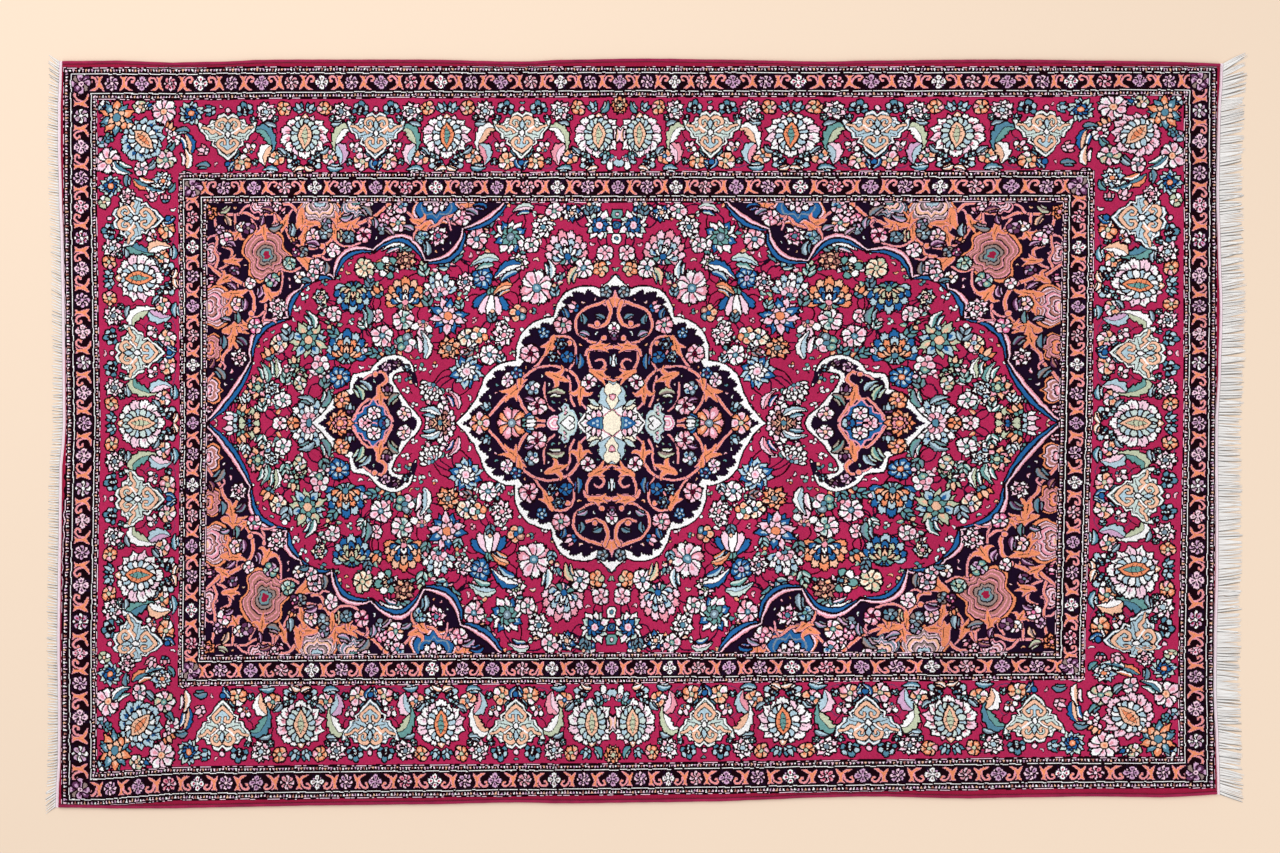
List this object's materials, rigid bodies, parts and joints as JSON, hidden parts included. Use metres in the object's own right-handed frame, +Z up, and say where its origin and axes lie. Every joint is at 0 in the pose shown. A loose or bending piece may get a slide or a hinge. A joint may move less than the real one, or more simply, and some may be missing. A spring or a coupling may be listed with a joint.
{
  "type": "hand-knotted persian rug",
  "caption": "Flat rectangular hand-knotted wool rug with a floral medallion pattern, overcast side cords, flat-woven end strips and a warp fringe at both ends.",
  "frame": {"origin": "on the floor under the middle of the rug, fringes included", "axes": "+X along the rug towards the end with the long fringe, +Y across it, +Z up out of the pile"},
  "size_m": [2.1684, 1.365, 0.009],
  "materials": {
    "knotted_wool": "cut wool pile in many dyes, crimson ground, soft sheen",
    "overcast_wool": "crimson wool wrapped closely round the side warps",
    "flat_weave": "flat-woven cotton, white with a pink tinge, matte",
    "warp_cotton": "loose cotton warp ends, cool white, matte"
  },
  "bodies": {
    "root": {"pile": "knotted_wool", "selvedge_upper": "overcast_wool", "selvedge_lower": "overcast_wool", "kilim_left": "flat_weave", "kilim_right": "flat_weave", "fringe_left": "warp_cotton", "fringe_right": "warp_cotton"}
  },
  "joints": []
}
